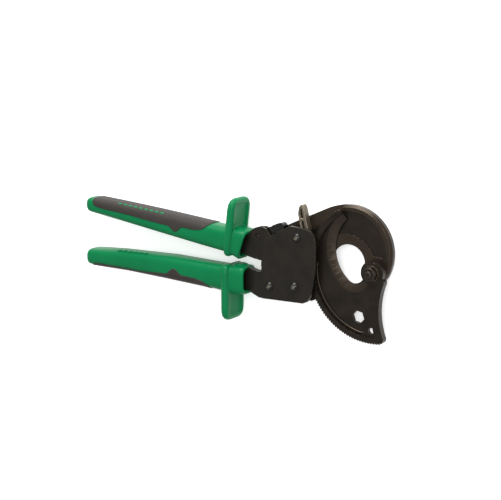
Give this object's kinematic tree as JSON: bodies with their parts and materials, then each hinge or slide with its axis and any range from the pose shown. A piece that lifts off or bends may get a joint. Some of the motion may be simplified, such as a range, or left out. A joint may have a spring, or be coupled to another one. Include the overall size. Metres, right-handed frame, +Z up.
{
  "type": "ratchet cable cutter",
  "caption": "Ratchet cable cutter with a hooked fixed blade, toothed moving blade, side plate, release lever, latch bar and two guarded grips.",
  "frame": {"origin": "centre of the bounding box's underside, with the tool lying on its side", "axes": "+X along the tool towards the jaws, +Y from the fixed handle towards the moving handle, +Z up, through the blades' thickness, towards the front plate"},
  "size_m": [0.275, 0.1, 0.027],
  "materials": {
    "dark_steel": "black-oxide steel, satin, with ground edges",
    "plate_steel": "black-oxide sheet steel, satin",
    "screw_steel": "black-oxide, semi-gloss",
    "bright_steel": "plain steel",
    "pawl_steel": "hardened steel, dark satin",
    "spring_steel": "spring steel",
    "lever_casting": "tan-grey investment casting, satin",
    "bronze": "sintered bronze",
    "grip_green": "moulded green plastic, satin",
    "inlay_grey": "soft dark grey inlay, matte"
  },
  "bodies": {
    "frame": {"fixed_blade": "dark_steel", "front_plate": "plate_steel", "fixed_handle_tang": "plate_steel", "frame_screws": "screw_steel", "handle_pivot_screw": "screw_steel", "blade_pivot_bolt": "screw_steel", "blade_pivot_washer": "screw_steel", "blade_pivot_nut": "screw_steel", "travel_stop_pin": "bright_steel", "spring_post": "bright_steel", "handle_spring": "spring_steel", "hold_pawl_spring": "spring_steel", "lower_grip": "grip_green", "lower_grip_inlay": "inlay_grey"},
    "moving_blade": {"moving_blade": "dark_steel", "blade_pivot_bush": "bronze"},
    "moving_handle": {"handle_cheek_front": "plate_steel", "handle_cheek_rear": "plate_steel", "handle_core": "plate_steel", "cheek_rivets": "bright_steel", "drive_pawl_pin": "bright_steel", "latch_pin": "screw_steel", "drive_pawl_spring": "spring_steel", "upper_grip": "grip_green", "upper_grip_inlay": "inlay_grey"},
    "drive_pawl": {"drive_pawl": "pawl_steel"},
    "release_lever": {"hold_pawl": "pawl_steel", "release_lever": "lever_casting"},
    "latch": {"handle_latch": "screw_steel"}
  },
  "joints": [
    {"name": "blade_pivot", "type": "hinge", "parent": "frame", "child": "moving_blade", "pos_m": [0.12445, 0.00268, 0.01285], "axis": [0, 0, 1], "range_deg": [-45, 85]},
    {"name": "handle_pivot", "type": "hinge", "parent": "frame", "child": "moving_handle", "pos_m": [0.06425, 0.02348, 0.0135], "axis": [0, 0, -1], "range_deg": [0, 24]},
    {"name": "drive_pawl_pivot", "type": "hinge", "parent": "moving_handle", "child": "drive_pawl", "pos_m": [0.06665, 0.00418, 0.0135], "axis": [0, 0, 1], "range_deg": [0, 8]},
    {"name": "release_lever_pivot", "type": "hinge", "parent": "frame", "child": "release_lever", "pos_m": [0.06425, 0.02348, 0.0135], "axis": [0, 0, 1], "range_deg": [0, 9]},
    {"name": "latch_pivot", "type": "hinge", "parent": "moving_handle", "child": "latch", "pos_m": [0.02775, 0.02128, 0.0135], "axis": [0, 0, 1], "range_deg": [0, 35]}
  ]
}
